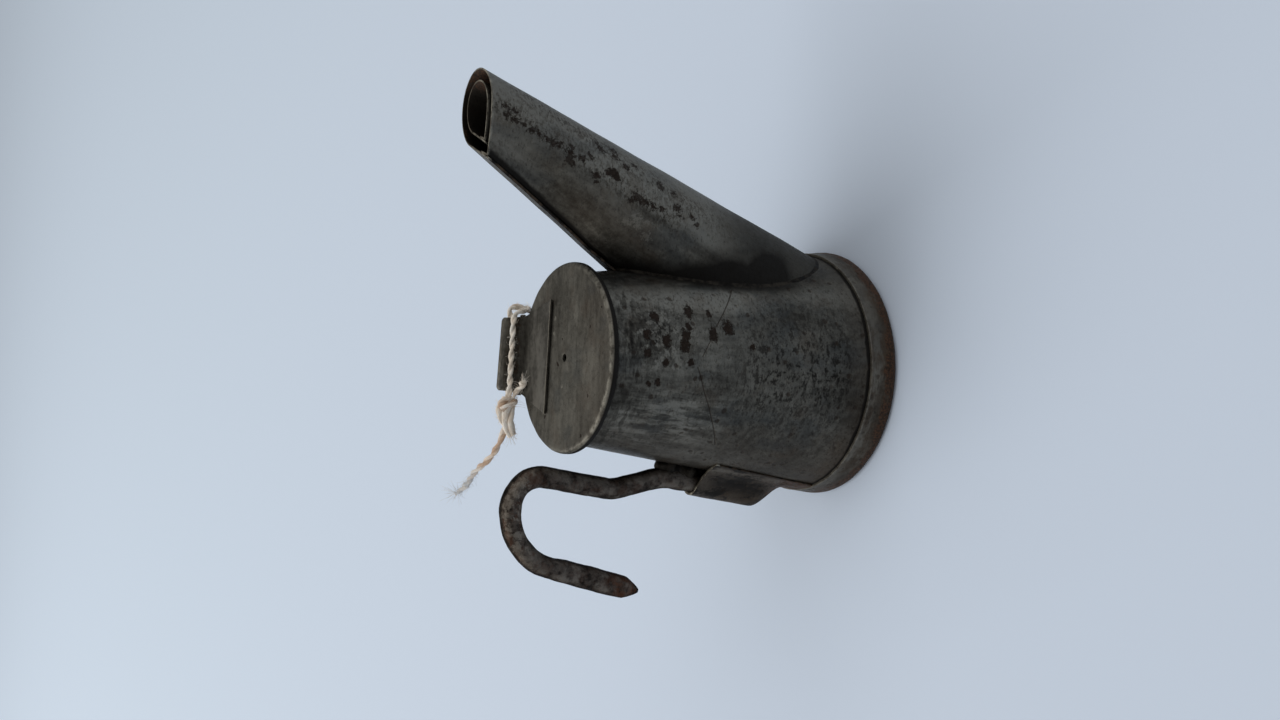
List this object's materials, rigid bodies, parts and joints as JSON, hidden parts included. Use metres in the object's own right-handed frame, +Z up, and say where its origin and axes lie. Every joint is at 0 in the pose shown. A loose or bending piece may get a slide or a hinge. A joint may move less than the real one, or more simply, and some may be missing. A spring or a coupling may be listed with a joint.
{
  "type": "oil wick cap lamp",
  "caption": "Small conical tin oil lamp with a slanted wick spout, a wire hook in a sleeve for hanging it on a cap, and a hinged lid.",
  "frame": {"origin": "centre of the base, on the plane that it rests on", "axes": "+Z up the font's axis, +X towards the spout, -X towards the hook, +Y towards the lid's hinge"},
  "size_m": [0.0967, 0.0684, 0.0806],
  "materials": {
    "tin": "weathered tinplate, worn bright at the edges",
    "tin_dark": "darkened tinplate with pitting and rust spots",
    "solder": "dull soft solder",
    "iron": "rusted wrought wire",
    "string": "two-ply cotton string"
  },
  "bodies": {
    "lamp": {"font_shell": "tin_dark", "base_cup": "tin", "base_solder": "solder", "outer_spout": "tin", "wick_tube": "tin_dark", "spout_solder": "solder", "hook": "iron", "hook_sleeve": "tin", "hook_solder": "solder", "body_hinge_leaf": "tin", "hinge_pin": "iron"},
    "lid": {"lid_disc": "tin", "lid_collar": "tin_dark", "lid_hinge_leaf": "tin", "tie_string": "string", "string_tail": "string"}
  },
  "joints": [
    {"name": "lid_hinge", "type": "hinge", "parent": "lamp", "child": "lid", "pos_m": [0, 0.0196, 0.05915], "axis": [-1, 0, 0], "range_deg": [0, 115]}
  ]
}
